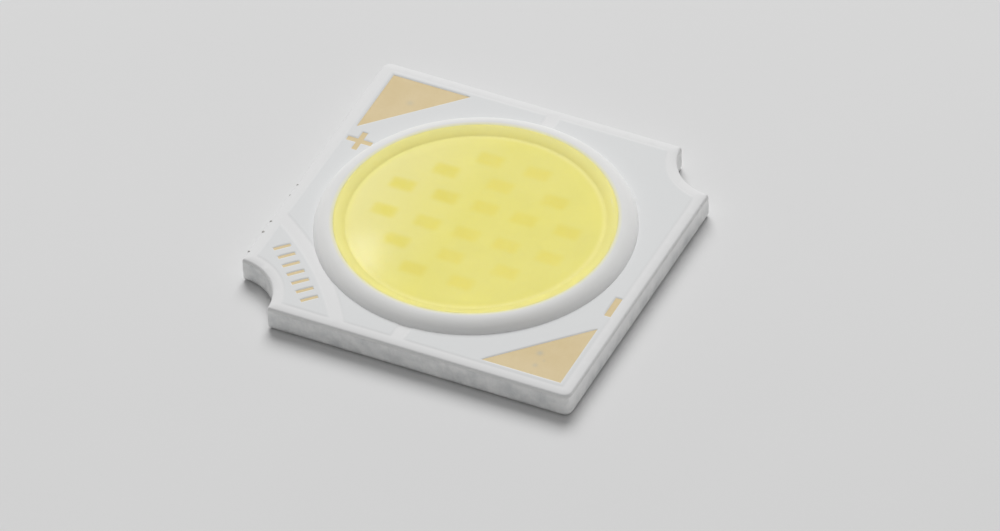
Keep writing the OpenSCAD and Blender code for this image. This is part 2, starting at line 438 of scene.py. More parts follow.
@dataclass
class Tree(Wiring):
    """A material's node tree, with short calls for the nodes that finishes share.

    Attributes:
        material: The material that the tree belongs to.
    """

    material: bpy.types.Material

    def __post_init__(self) -> None:
        """Empties the tree and adds the shader and its output."""
        self.material.use_nodes = True
        self.tree = self.material.node_tree
        self.tree.nodes.clear()
        self.shader = self.node("ShaderNodeBsdfPrincipled")
        self.node("ShaderNodeOutputMaterial", Surface=self.shader.outputs["BSDF"])

    def fix(self, **values: Feed) -> None:
        """Sets the shader's inputs; an underscore in a name stands for a space."""
        for key, value in values.items():
            self.feed(self.shader.inputs[key.replace("_", " ")], value)

    def where(self, scale: tuple[float, float, float] = (1.0, 1.0, 1.0)
              ) -> bpy.types.NodeSocket:
        """Returns the object's own coordinates, multiplied by scale along each axis."""
        own = self.node("ShaderNodeTexCoord").outputs["Object"]
        return self.node("ShaderNodeMapping", Vector=own, Scale=scale).outputs["Vector"]

    def noise(self, scale: float, detail: float = 3.0, rough: float = 0.55,
              where: bpy.types.NodeSocket | None = None) -> bpy.types.NodeSocket:
        """Noise of 0..1.

        Args:
            scale: Waves per metre.
            detail: Number of finer layers.
            rough: Strength of each finer layer.
            where: Coordinates, or None for plain Object coordinates.

        Returns:
            The value socket.
        """
        return self.node("ShaderNodeTexNoise", Scale=scale, Detail=detail, Roughness=rough,
                         Vector=where or self.where()).outputs["Fac"]

    def cells(self, scale: float) -> bpy.types.NodeSocket:
        """Returns the distance to the nearest of scattered points, scale points per metre."""
        made = self.node("ShaderNodeTexVoronoi", Scale=scale, Vector=self.where())
        return made.outputs["Distance"]

    def stored(self, name: str) -> bpy.types.NodeSocket:
        """Returns the value of a mesh attribute."""
        made = self.node("ShaderNodeAttribute")
        made.attribute_name = name
        return made.outputs["Fac"]

    def axis(self, name: str) -> bpy.types.NodeSocket:
        """Returns the object's own X, Y or Z in metres."""
        return self.node("ShaderNodeSeparateXYZ", Vector=self.where()).outputs[name]

    def span(self, value: bpy.types.NodeSocket, low: float, high: float,
             to_low: float = 0.0, to_high: float = 1.0) -> bpy.types.NodeSocket:
        """Maps a range of values onto another, clamped.

        Args:
            value: The value socket.
            low: Value that becomes to_low.
            high: Value that becomes to_high.
            to_low: Result at low.
            to_high: Result at high.

        Returns:
            The mapped value's socket.
        """
        return self.node("ShaderNodeMapRange", Value=value, From_Min=low, From_Max=high,
                         To_Min=to_low, To_Max=to_high).outputs["Result"]

    def along(self, axis: str, start: float, end: float,
              at_start: float = 0.0, at_end: float = 1.0) -> bpy.types.NodeSocket:
        """A value that changes along an axis, clamped.

        Args:
            axis: The object's own X, Y or Z.
            start: Where the change starts, in millimetres.
            end: Where it ends, in millimetres.
            at_start: Result up to the start.
            at_end: Result from the end on.

        Returns:
            The value socket.
        """
        return self.span(self.axis(axis), start * MM, end * MM, at_start, at_end)

    def blend(self, share: bpy.types.NodeSocket, a: Colour | bpy.types.NodeSocket,
              b: Colour | bpy.types.NodeSocket) -> bpy.types.NodeSocket:
        """Mixes two colours.

        Args:
            share: 0 gives a, 1 gives b.
            a: Colour or colour socket.
            b: Colour or colour socket.

        Returns:
            The mixed colour's socket.
        """
        made = self.node("ShaderNodeMix")
        made.data_type = "RGBA"
        for index, value in ((0, share), (6, a), (7, b)):
            self.feed(made.inputs[index], value)
        return made.outputs[2]

    def paint(self, colour: bpy.types.NodeSocket) -> None:
        """Feeds the base colour."""
        self.fix(Base_Color=colour)

    def gloss(self, roughness: bpy.types.NodeSocket) -> None:
        """Feeds the roughness."""
        self.fix(Roughness=roughness)

    def relief(self, height: bpy.types.NodeSocket, depth: float, strength: float = 1.0) -> None:
        """Bump from a height of 0..1.

        Args:
            height: The height socket.
            depth: Depth in millimetres.
            strength: How much of it shows.
        """
        made = self.node("ShaderNodeBump", Distance=depth * MM, Strength=strength, Height=height)
        self.fix(Normal=made.outputs["Normal"])


@dataclass(frozen=True)
class Finish:
    """One finish: makes its material once and puts it on pieces.

    Attributes:
        name: Name of the material.
        slot: Slot of the record that the finish belongs to; not used.
        colour: Main colour, linear.
    """

    name: str
    slot: str
    colour: Colour

    def dress(self, tree: Tree) -> None:
        """Builds the nodes; each finish has its own."""
        raise NotImplementedError

    def material(self) -> bpy.types.Material:
        """Returns the finish's material, made on first use."""
        known = bpy.data.materials.get(self.name)
        if known:
            return known
        made = bpy.data.materials.new(self.name)
        self.dress(Tree(made))
        return made

    def put(self, piece: bpy.types.Object) -> None:
        """Dresses a new piece."""
        piece.data.materials.clear()
        piece.data.materials.append(self.material())

    def put_on_node(self, name: str) -> None:
        """Dresses a CAD node that stays in view."""
        node = frame["nodes"][name]
        if node.material_slots:
            for place in node.material_slots:
                place.material = self.material()
        else:
            node.data.materials.append(self.material())


@dataclass(frozen=True)
class PunchedAluminium(Finish):
    """Aluminium with a sheared, mottled edge.

    Attributes:
        dark: Colour of the dark blotches.
        fleck: Colour of the small flecks.
        right_light: Colour of the painted light on the right side's upper part.
        right_x: Where along X the right side begins, which gets the painted light and no painted
            shade at its foot.
        right_light_z: Heights between which that side turns to the painted light's colour.
        foot_z: Heights between which the painted shade at the foot of the other sides ends.
        foot_shade: Strength of the painted shade at the foot, and its colour as a share of dark.
    """

    dark: Colour = (0.66, 0.675, 0.68)
    fleck: Colour = (0.80, 0.85, 0.84)
    right_light: Colour = (0.985, 0.985, 0.98)
    right_x: tuple[float, float] = (6.60, 6.64)
    right_light_z: tuple[float, float] = (0.3, 0.8)
    foot_z: tuple[float, float] = (0.06, 0.20)
    foot_shade: float = 0.3

    def dress(self, tree: Tree) -> None:
        """Blotches, faint drag marks and flecks, with painted shade towards the underside and a
        painted lighter upper part on the right side.

        Args:
            tree: The node tree of its material.
        """
        blotches = tree.noise(1500.0, 4.0, 0.6)
        drags = tree.noise(1100.0, 4.0, 0.6, tree.where((2.5, 2.5, 0.6)))
        flecks = tree.span(tree.cells(4200.0), 0.08, 0.22, 1.0, 0.0)
        mixed = tree.math("MULTIPLY", tree.span(blotches, 0.3, 0.6), 0.7)
        mixed = tree.math("ADD", mixed, tree.math("MULTIPLY", tree.span(drags, 0.3, 0.7), 0.3))
        colour = tree.blend(mixed, self.dark, self.colour)
        colour = tree.blend(tree.math("MULTIPLY", flecks, 0.4), colour, self.fleck)
        # Painted light: the upper part of the right side is painted lighter, as if more light fell
        # on it.
        right = tree.along("X", *self.right_x)
        right_light = tree.math("MULTIPLY", right, tree.along("Z", *self.right_light_z))
        colour = tree.blend(right_light, colour, self.right_light)
        # Painted shade: the foot of the other sides is painted darker, standing in for the contact
        # shadow under the plate.
        low = tree.along("Z", *self.foot_z, self.foot_shade, 0.0)
        low = tree.math("MULTIPLY", low, tree.span(right, 0.0, 1.0, 1.0, 0.0))
        tree.paint(tree.blend(low, colour, shade(self.dark, self.foot_shade)))
        tree.gloss(tree.span(blotches, 0.3, 0.7, 0.45, 0.65))
        tree.fix(Metallic=0.25)
        tree.relief(mixed, 0.02, 0.8)


@dataclass(frozen=True)
class Laminate(Finish):
    """White insulating layer, seen as a thin line along the edge."""

    def dress(self, tree: Tree) -> None:
        """Fine cloudy grain.

        Args:
            tree: The node tree of its material.
        """
        grain = tree.noise(2600.0, 4.0, 0.65)
        tree.paint(tree.blend(tree.span(grain, 0.3, 0.7), shade(self.colour, 0.9), self.colour))
        tree.gloss(tree.span(grain, 0.3, 0.7, 0.5, 0.75))
        tree.relief(grain, 0.008)


@dataclass(frozen=True)
class MaskInk(Finish):
    """White solder mask, cooler where copper lies under it.

    Attributes:
        bare: Colour where no copper lies under it.
    """

    bare: Colour = (0.815, 0.815, 0.815)

    def dress(self, tree: Tree) -> None:
        """Copper shows as a cooler white; orange peel and a faint mottle lie over all.

        Args:
            tree: The node tree of its material.
        """
        mottle = tree.noise(700.0, 4.0, 0.6)
        peel = tree.noise(5200.0, 3.0, 0.6)
        share = tree.math("MULTIPLY", tree.stored("over_copper"),
                          tree.span(mottle, 0.2, 0.8, 0.85, 1.0))
        tree.paint(tree.blend(share, self.bare, self.colour))
        tree.gloss(tree.span(mottle, 0.3, 0.7, 0.45, 0.55))
        tree.fix(Specular_IOR_Level=0.3)
        tree.relief(peel, 0.0025)


@dataclass(frozen=True)
class PaleGold(Finish):
    """Pale, fine-grained gold plating.

    Attributes:
        deep: Colour of the warmer clouds.
        probed: Colour where a test probe has touched it.
    """

    deep: Colour = (0.79, 0.635, 0.365)
    probed: Colour = (0.60, 0.575, 0.49)

    def dress(self, tree: Tree) -> None:
        """Satin grain and cloudy warmth.

        Args:
            tree: The node tree of its material.
        """
        cloud = tree.noise(650.0, 4.0, 0.6)
        grain = tree.noise(9000.0, 3.0, 0.6)
        gold = tree.blend(tree.span(cloud, 0.35, 0.75), self.colour, self.deep)
        tree.paint(tree.blend(tree.stored("probe_mark"), gold, self.probed))
        tree.gloss(tree.span(grain, 0.3, 0.7, 0.5, 0.65))
        tree.fix(Metallic=0.25, Specular_IOR_Level=0.3)
        tree.relief(grain, 0.002)


@dataclass(frozen=True)
class DamSilicone(Finish):
    """White silicone: satin, faintly translucent, stained by the phosphor at its inner edge.

    Attributes:
        foot: Colour at the bead's foot, painted lighter against the shade on the bead's lower
            sides; the finish's main colour is the crest's, painted darker against the light on
            top.
        foot_z: Height up to which the foot's painted lighter colour is full.
        crest_z: Height from which the crest's painted darker colour is full.
        stain: Colour of the stain.
        stain_from: Radius where the stain starts.
        stain_to: Radius from which inwards it is full.
    """

    foot: Colour = (0.99, 0.99, 0.98)
    foot_z: float = 0.98
    crest_z: float = 1.34
    stain: Colour = (0.93, 0.90, 0.55)
    stain_from: float = 5.08
    stain_to: float = 4.92

    def dress(self, tree: Tree) -> None:
        """White that is painted lighter towards the foot and darker at the crest against the light
        that falls on it, with a soft, slightly uneven gloss and a stained inner edge.

        Args:
            tree: The node tree of its material.
        """
        cloud = tree.noise(500.0, 3.0, 0.5)
        crest = tree.blend(tree.span(cloud, 0.3, 0.7), self.colour, shade(self.colour, 0.97))
        # Painted light and shade: the foot is painted lighter and the crest darker, evening out
        # how the light falls on the bead.
        white = tree.blend(tree.along("Z", self.foot_z, self.crest_z), self.foot, crest)
        across, along = tree.axis("X"), tree.axis("Y")
        square = tree.math("ADD", tree.math("MULTIPLY", across, across),
                           tree.math("MULTIPLY", along, along))
        inner = tree.span(tree.math("POWER", square, 0.5), self.stain_to * MM,
                          self.stain_from * MM, 1.0, 0.0)
        tree.paint(tree.blend(inner, white, self.stain))
        tree.gloss(tree.span(cloud, 0.3, 0.7, 0.34, 0.44))
        tree.fix(Subsurface_Weight=0.25, Subsurface_Radius=(0.4, 0.4, 0.38),
                 Subsurface_Scale=0.0004)
        tree.relief(tree.noise(2600.0, 2.0), 0.002)


@dataclass(frozen=True)
class PhosphorBed(Finish):
    """Settled phosphor: grainy yellow, deeper over the chips, with a painted highlight that makes
    it paler to the left.

    Attributes:
        over_chip: Colour over a chip.
        flank: Colour on the flank by the dam: partly its own paler tone, partly painted light that
            lifts the shade in the trench.
        left_highlight: Colour of the painted highlight at the far left.
        left_highlight_x: Where along X the painted highlight is full, and where it ends.
    """

    over_chip: Colour = (0.914, 0.832, 0.175)
    flank: Colour = (0.985, 0.935, 0.375)
    left_highlight: Colour = (0.96, 0.91, 0.42)
    left_highlight_x: tuple[float, float] = (-4.2, -0.5)

    def dress(self, tree: Tree) -> None:
        """Grain, patches over the chips, a painted highlight on the left side and the flank's
        tone, which is partly painted light.

        Args:
            tree: The node tree of its material.
        """
        grain = tree.noise(6000.0, 4.0, 0.65)
        cloud = tree.noise(420.0, 3.0, 0.5)
        chips = tree.math("MULTIPLY", tree.stored("over_chip"),
                          tree.span(tree.noise(1500.0, 3.0), 0.3, 0.6, 0.7, 1.0))
        pale = tree.blend(tree.span(cloud, 0.35, 0.7), self.colour, shade(self.colour, 0.96))
        # Painted highlight: the left side is painted paler, standing in for the glare of light on
        # the gel above it.
        pale = tree.blend(tree.along("X", *self.left_highlight_x, 1.0, 0.0), pale, self.left_highlight)
        patched = tree.blend(chips, pale, self.over_chip)
        # The flank's colour is partly the phosphor's own paler tone there and partly painted
        # light, lifting the shade that the dam casts into the trench.
        tree.paint(tree.blend(tree.stored("flank"), patched, self.flank))
        tree.gloss(tree.span(grain, 0.3, 0.7, 0.7, 0.9))
        tree.relief(grain, 0.004)


@dataclass(frozen=True)
class ClearGel(Finish):
    """The clear upper part of the silicone: smooth, tinted by what floats in it.

    Attributes:
        haze: Least roughness.
        index: Refractive index.
    """

    haze: float = 0.05
    index: float = 1.41

    def dress(self, tree: Tree) -> None:
        """Glass-like silicone with an even tint; only its gloss varies.

        Args:
            tree: The node tree of its material.
        """
        tree.gloss(tree.span(tree.noise(300.0, 2.0), 0.3, 0.7, self.haze, self.haze + 0.03))
        tree.fix(Base_Color=self.colour, Transmission_Weight=1.0, IOR=self.index)
        tree.relief(tree.noise(260.0, 2.0), 0.006, 0.35)


@dataclass(frozen=True)
class PlainMetal(Finish):
    """Copper, bond wire, die bond or burr: small, or under other layers.

    Attributes:
        worn: Second colour, in clouds.
        roughness: Least roughness.
        metal: 1 for bare metal, 0 for none.
    """

    worn: Colour = (0.5, 0.3, 0.15)
    roughness: float = 0.35
    metal: float = 1.0

    def dress(self, tree: Tree) -> None:
        """Cloudy tone and fine grain.

        Args:
            tree: The node tree of its material.
        """
        cloud = tree.noise(1800.0, 4.0, 0.6)
        tree.paint(tree.blend(tree.span(cloud, 0.3, 0.7), self.colour, self.worn))
        tree.gloss(tree.span(cloud, 0.3, 0.7, self.roughness, self.roughness + 0.15))
        tree.fix(Metallic=self.metal)
        tree.relief(tree.noise(9000.0, 3.0), 0.002)


@dataclass(frozen=True)
class Crystal(Finish):
    """Chip body: dense, slightly blue-grey crystal."""

    def dress(self, tree: Tree) -> None:
        """Faint banding under a sharp gloss.

        Args:
            tree: The node tree of its material.
        """
        bands = tree.noise(4000.0, 2.0, 0.5, tree.where((1.0, 0.15, 1.0)))
        tree.paint(tree.blend(tree.span(bands, 0.3, 0.7), self.colour, shade(self.colour, 0.85)))
        tree.gloss(tree.span(bands, 0.3, 0.7, 0.12, 0.2))
        tree.fix(Specular_IOR_Level=0.7)


@dataclass(frozen=True)
class Tabletop(Finish):
    """The pale surface that the part lies on."""

    def put(self, piece: bpy.types.Object) -> None:
        """Dresses the surface, which belongs to the stage and so to no slot."""
        piece.data.materials.append(self.material())

    def dress(self, tree: Tree) -> None:
        """Even matt grey with a very faint cloud.

        Args:
            tree: The node tree of its material.
        """
        cloud = tree.noise(60.0, 3.0, 0.5)
        tree.paint(tree.blend(tree.span(cloud, 0.3, 0.7), self.colour, shade(self.colour, 0.985)))
        tree.fix(Roughness=0.85, Specular_IOR_Level=0.2)


ALUMINIUM = PunchedAluminium("punched_aluminium", "aluminium", (0.93, 0.93, 0.92))
BURR = PlainMetal("burr", "aluminium", (0.54, 0.53, 0.5), (0.4, 0.4, 0.39), 0.6, 0.2)
LAMINATE = Laminate("laminate", "dielectric", (0.93, 0.93, 0.92))
MASK_INK = MaskInk("mask_ink", "white_mask", (0.768, 0.777, 0.779))
GOLD = PaleGold("pale_gold", "gold_plating", (0.84, 0.695, 0.435))
COPPER = PlainMetal("copper_foil", "copper", (0.72, 0.36, 0.2))
# Its colour is the crest's, painted darker than the bead's foot against the light on top.
DAM_WHITE = DamSilicone("dam_white", "dam_silicone", (0.82, 0.82, 0.81))
BED = PhosphorBed("phosphor_bed", "phosphor_silicone", (0.945, 0.893, 0.257))
GEL = ClearGel("clear_gel", "gel_silicone", (1.0, 0.99, 0.93))
BOND = PlainMetal("die_bond_paste", "die_bond", (0.8, 0.8, 0.78), (0.7, 0.7, 0.68), 0.6, 0.0)
CHIP = Crystal("chip_crystal", "led_chip", (0.35, 0.42, 0.5))
WIRE = PlainMetal("dusted_wire", "bond_wire", (0.97, 0.92, 0.4), (0.95, 0.88, 0.34), 0.7, 0.0)
TABLE = Tabletop("pale_table", "", (0.775, 0.775, 0.775))


def plan_box(node: str) -> tuple[np.ndarray, np.ndarray]:
    """Returns the low and the high plan corner of a CAD node's box, in millimetres."""
    low, high = (np.array(corner)[:2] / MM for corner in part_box(node))
    return low, high


def z_range(node: str) -> tuple[float, float]:
    """Returns the heights of a CAD node's underside and top, in millimetres."""
    low, high = (corner.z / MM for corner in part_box(node))
    return low, high


def finish_piece(piece: bpy.types.Object, finish: Finish, *nodes: str) -> bpy.types.Object:
    """Dresses a piece, fixes it to the body and hides the CAD nodes it stands for.

    Args:
        piece: The finished mesh object.
        finish: Its finish.
        nodes: CAD nodes that it replaces.

    Returns:
        The same piece.
    """
    finish.put(piece)
    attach(piece, BODY)
    if nodes:
        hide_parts(*nodes)
    log.info("%s: %d faces", piece.name, len(piece.data.polygons))
    return piece


# ---------------------------------------------------------------- board


@dataclass
class Outline:
    """Plan of the board: a square with two notched corners and two rounded ones.

    Attributes:
        half: Half of the board's side.
        notch_r: Radius of the notches, centred on the corners.
        corner_r: Radius of the two whole corners.
        tip_r: Radius of the tips where a notch meets a side.
        side_count: Points along a straight side.
        notch_count: Points around a notch.
        bend_count: Points around a corner or a tip.
    """

    half: float
    notch_r: float = 1.9
    corner_r: float = 0.3
    tip_r: float = 0.08
    side_count: int = 180
    notch_count: int = 56
    bend_count: int = 7

    def quarter(self, margin: float) -> Loop:
        """Half of the outline, from the front-left notch to the start of the back-right one.

        Args:
            margin: How far inside the outline to draw.

        Returns:
            The points, counter-clockwise.
        """
        h, tip = self.half, max(self.tip_r - margin, 0.002)
        notch = self.notch_r + margin
        reach = math.sqrt((notch + tip) ** 2 - (margin + tip) ** 2)
        low = math.atan2(margin + tip, reach)
        left = (-h + margin + tip, -h + reach)
        front = (-h + reach, -h + margin + tip)
        corner = max(self.corner_r, margin + 0.002)
        bend = (h - corner, -h + corner)
        right_end = h - reach
        parts = [
            arc(left, tip, math.pi, 1.5 * math.pi - low, self.bend_count)[:-1],
            arc((-h, -h), notch, 0.5 * math.pi - low, low, self.notch_count)[:-1],
            arc(front, tip, math.pi + low, 1.5 * math.pi, self.bend_count)[:-1],
            self.line((front[0], -h + margin), (bend[0], -h + margin)),
            arc(bend, corner - margin, -0.5 * math.pi, 0.0, self.bend_count)[:-1],
            self.line((h - margin, bend[1]), (h - margin, right_end)),
        ]
        return np.concatenate(parts)

    def line(self, start: Sequence[float], end: Sequence[float]) -> Loop:
        """Returns evenly spaced points from start, up to but without end."""
        t = np.linspace(0.0, 1.0, self.side_count, endpoint=False)[:, None]
        return np.array(start) * (1.0 - t) + np.array(end) * t

    def ring(self, margin: float = 0.0) -> Loop:
        """Returns the whole outline drawn in by a margin, always with as many points."""
        part = self.quarter(margin)
        return np.concatenate([part, -part])


@dataclass
class Rounding:
    """A quarter-round along an edge.

    Attributes:
        radius: Radius of the rounding.
        level: Height of the flat face that it leads to.
    """

    radius: float
    level: float

    def margin_at(self, z: float) -> float:
        """Returns how far in the rounded edge is at a height."""
        from_start = self.radius - abs(self.level - z)
        if from_start <= 0.0:
            return 0.0
        return self.radius - math.sqrt(max(self.radius ** 2 - from_start ** 2, 0.0))


@dataclass
class Board:
    """Base plate, insulating layer, white mask and gold faces.

    Attributes:
        outline: Plan of the board.
        base_top: Height of the base plate.
        laminate_top: Height of the insulating layer's top.
        copper_top: Height of the copper's top.
        face_z: Height of the mask over the copper.
        window_r: Radius of the insulating layer's window.
        mask_window_r: Radius of the mask's window.
        copper_inner_r: Radius of the copper's inner edge.
        copper_border: Distance of the copper from the board's sides and notches.
        copper_gap: Gap between two copper fields.
        field_at: Distance of the marking field's edge from the centre, along the diagonal.
        field_r: Radius of that edge.
        sag: How much lower the mask lies where no copper is under it.
        slope: Width of the mask's slope over the copper's edge.
        slope_lines: Places of the mask's lines across the slope, as shares of its width.
        edge_r: Rounding of the upper edge.
        back_r: Rounding of the lower edge.
        shear_depth: Mean and swing of how far the cut side is eaten away, then the most.
        burr_r: Radius of a burr.
        burr_at: Places of the burrs along the left edge.
        hem_w: Width of the mask's soft edge around an opening.
        hem_lines: Places of the mask's lines along that edge, as shares of its width.
        gold_top: Height of the plating in the openings.
    """

    outline: Outline
    base_top: float
    laminate_top: float
    copper_top: float
    face_z: float
    window_r: float = 4.6
    mask_window_r: float = 5.2
    copper_inner_r: float = 4.7
    copper_border: float = 0.42
    copper_gap: float = 0.5
    field_at: float = 6.01
    field_r: float = 13.3
    sag: float = 0.018
    slope: float = 0.11
    slope_lines: tuple[float, ...] = (-0.62, -0.5, -0.28, 0.0, 0.28, 0.5, 0.62)
    edge_r: float = 0.14
    back_r: float = 0.2
    shear_depth: tuple[float, float, float] = (0.008, 0.016, 0.03)
    burr_r: float = 0.045
    burr_at: tuple[float, ...] = (-0.49, -1.08, -2.58, -3.18, -4.30)
    hem_w: float = 0.05
    hem_lines: tuple[float, ...] = (0.5, 1.0, 1.5)
    gold_top: float = 0.97

    def base(self) -> bpy.types.Object:
        """Builds the aluminium plate.

        Returns:
            The piece.
        """
        shell = Shell()
        count = len(self.outline.ring())
        levels = [(self.back_r * (1.0 - math.sin(turn)), self.back_r * (1.0 - math.cos(turn)))
                  for turn in np.linspace(0.0, 0.5 * math.pi, 8)]
        levels += [(0.0, z) for z in np.linspace(self.back_r, self.base_top, 12)[1:]]
        cap = shell.ring(self.outline.ring(self.back_r + 0.02), 0.0)
        rings = [shell.ring(self.outline.ring(m), z) for m, z in levels]
        lid = shell.ring(self.outline.ring(0.05), self.base_top)
        shell.wall([cap, *rings, lid], count)
        shell.cap(cap, count, up=False)
        shell.cap(lid, count, up=True)
        shell.points = [self.sheared(shell.all_points())]
        return finish_piece(shell.piece("aluminium_base", 50.0), ALUMINIUM, "base_plate")

    def burrs(self) -> bpy.types.Object:
        """Sets the small burrs left by the punch on the left edge with Geometry Nodes.

        Returns:
            The piece.
        """
        grove = NodeGrove("edge_burrs", {"Radius": self.burr_r * MM, "Least": 0.6, "Most": 1.3,
                                         "Seed": 11})
        grain = grove.node("GeometryNodeMeshIcoSphere", Subdivisions=3,
                           Radius=grove.value("Radius"))
        scale = grove.node("FunctionNodeRandomValue")
        scale.data_type = "FLOAT"
        grove.link(grove.value("Least"), scale.inputs[2])
        grove.link(grove.value("Most"), scale.inputs[3])
        grove.link(grove.value("Seed"), scale.inputs["Seed"])
        place = grove.at_points(grain.outputs["Mesh"])
        grove.link(scale.outputs[1], place.inputs["Scale"])
        grove.finish(place.outputs["Instances"], BURR.material())
        edge = self.outline.half - 1.32 * self.burr_r
        seeds = np.array([(-edge, y, self.laminate_top + 0.02) for y in self.burr_at])
        return finish_piece(grove.grow("edge_burrs", seeds), BURR)

    def sheared(self, points: np.ndarray) -> np.ndarray:
        """Roughens the cut side, inwards only.

        Args:
            points: The plate's vertices.

        Returns:
            The moved vertices.
        """
        plan = points[:, :2]
        side = distance_to(plan, self.outline.ring()) > -0.045
        side &= (points[:, 2] > 0.15) & (points[:, 2] < self.base_top - 0.02)
        rough = ripple(points * np.array([1.0, 1.0, 0.45]), 4.5, 3.0, 4)[:, None]
        mean, swing, most = self.shear_depth
        depth = np.clip(mean + swing * rough, 0.0, most)
        towards = -plan / np.maximum(np.linalg.norm(plan, axis=1)[:, None], 1e-6)
        moved = points.copy()
        moved[:, :2] += np.where(side[:, None], towards * depth, 0.0)
        return moved

    def laminate(self) -> bpy.types.Object:
        """Builds the insulating layer with its round window.

        Returns:
            The piece.
        """
        rounding = Rounding(self.edge_r, self.face_z)
        shell = Shell()
        heights = np.linspace(self.base_top, self.laminate_top, 5)
        loops = [self.outline.ring(rounding.margin_at(z) + 0.004) for z in heights]
        count = len(loops[0])
        rings = [shell.ring(loop, z) for loop, z in zip(loops, heights)]
        shell.wall(rings, count)
        window = circle(self.window_r, ROUND)
        low, high = shell.ring(window, heights[0]), shell.ring(window, heights[-1])
        shell.faces += [face[::-1] for face in band(low, high, ROUND)]
        for ring, rim, up in ((rings[0], low, False), (rings[-1], high, True)):
            plan, tris = plan_mesh(loops[-1] if up else loops[0], [window])
            names = [ring + i if i < count else rim + i - count for i in range(len(plan))]
            for t in tris:
                face = tuple(names[i] for i in t)
                shell.faces.append(face if up else face[::-1])
        return finish_piece(shell.piece("laminate_edge", 50.0), LAMINATE, "dielectric_layer")

    def copper_fields(self) -> list[Loop]:
        """Outlines of the copper under the mask.

        Returns:
            The plus field, the minus field and the marking field, counter-clockwise.
        """
        h, r, g = self.outline.half, self.copper_inner_r, self.copper_gap / 2.0
        b = h - self.copper_border
        notch = self.outline.notch_r + self.copper_border
        reach = h - math.sqrt(notch ** 2 - self.copper_border ** 2)
        low = math.asin(self.copper_border / notch)
        lean = 0.5 * math.pi - math.asin(g / r)
        centre = -(self.field_at + self.field_r) / math.sqrt(2.0)

        def parting(radius: float) -> Loop:
            """Returns the arc by the marking field, from the front edge to the left edge."""
            side = math.acos((-b - centre) / radius)
            return arc((centre, centre), radius, 0.5 * math.pi - side, side, 60)

        plus = np.concatenate([
            [(-g, b), (-b, b)], parting(self.field_r + self.copper_gap)[::-1], [(-g, -b)],
            arc((0, 0), r, math.pi - lean, math.pi + lean, 120)[::-1],
        ])
        minus = np.concatenate([
            [(g, -b), (b, -b), (b, reach)],
            arc((h, h), notch, 1.5 * math.pi - low, math.pi + low, 40)[1:-1],
            [(reach, b), (g, b)], arc((0, 0), r, -lean, lean, 120)[::-1],
        ])
        marking = np.concatenate([
            parting(self.field_r), [(-b, -reach)],
            arc((-h, -h), notch, 0.5 * math.pi - low, low, 40)[1:-1], [(-reach, -b)],
        ])
        return [plus, minus, marking]

    def mask(self, windows: list[Loop]) -> bpy.types.Object:
        """Builds the white mask as a coat that drops where the copper ends.

        Args:
            windows: Openings over bare copper.

        Returns:
            The piece.
        """
        fields = [thicken(loop, 0.22) for loop in self.copper_fields()]
        rounding = Rounding(self.edge_r, self.face_z)
        low_face = self.face_z - self.sag
        rim = self.outline.ring(rounding.margin_at(low_face))
        window = circle(self.mask_window_r, ROUND)
        lines = [offset(loop, share * self.slope) for loop in fields
                 for share in self.slope_lines]
        openings = [thicken(loop, 0.2) for loop in windows]
        hems = [offset(loop, self.hem_w * share) for loop in openings
                for share in self.hem_lines]
        plan, tris = plan_mesh(rim, [window, *openings], [*hems, *lines], self.scatter(0.45))
        used, tris = np.unique(tris, return_inverse=True)
        plan, tris = plan[used], tris.reshape(-1, 3)
        away = np.min([distance_to(plan, loop) for loop in fields], axis=0)
        over = 1.0 - smooth(away / self.slope + 0.5)
        wave = ripple(plan, 0.35, 8.0, 2)
        top = low_face + self.sag * over - 0.0025 * np.clip(0.5 + wave, 0.0, 1.0) * over
        hem = np.min([np.abs(distance_to(plan, loop)) for loop in openings], axis=0)
        thin = 1.0 - smooth(np.clip(hem / self.hem_w, 0.0, 1.0))
        top += (self.gold_top + 0.003 - top) * thin
        bottom = np.where(away < 0.3 * self.slope, self.copper_top, self.laminate_top)
        shell = Shell()
        upper = shell.sheet(plan, top, tris)
        lower = shell.sheet(plan, bottom, tris, up=False)
        on_rim = distance_to(plan, rim) > -1e-4
        levels = np.linspace(low_face, self.laminate_top, 6)[1:]
        starts = [upper]
        names = {int(i): n for n, i in enumerate(np.flatnonzero(on_rim))}
        rim_plan = plan[on_rim]
        order = [int(np.argmin(np.hypot(*(rim - p).T))) for p in rim_plan]
        for z in levels:
            starts.append(shell.ring(self.outline.ring(rounding.margin_at(z))[order], z))
        for a, b in border_edges(tris):
            if a in names and b in names:
                chain = [(a, b)] + [(s + names[a], s + names[b]) for s in starts[1:]]
                chain.append((lower + a, lower + b))
                for (a0, b0), (a1, b1) in zip(chain, chain[1:]):
                    shell.faces.append((b0, a0, a1, b1))
            else:
                shell.faces.append((b, a, lower + a, lower + b))
        piece = shell.piece("mask_coat", 50.0)
        over_all = np.concatenate([over, over, np.zeros(shell.count - 2 * len(plan))])
        note(piece, "over_copper", over_all)
        return finish_piece(piece, MASK_INK, "solder_mask")

    def scatter(self, step: float) -> np.ndarray:
        """Returns a loose grid of points over the board's square."""
        side = np.arange(-self.outline.half + step, self.outline.half, step)
        grid = np.array([(x, y) for x in side for y in side])
        return grid + 0.11 * step * np.sin(grid[:, ::-1] * 7.3)


# ---------------------------------------------------------------- gold faces


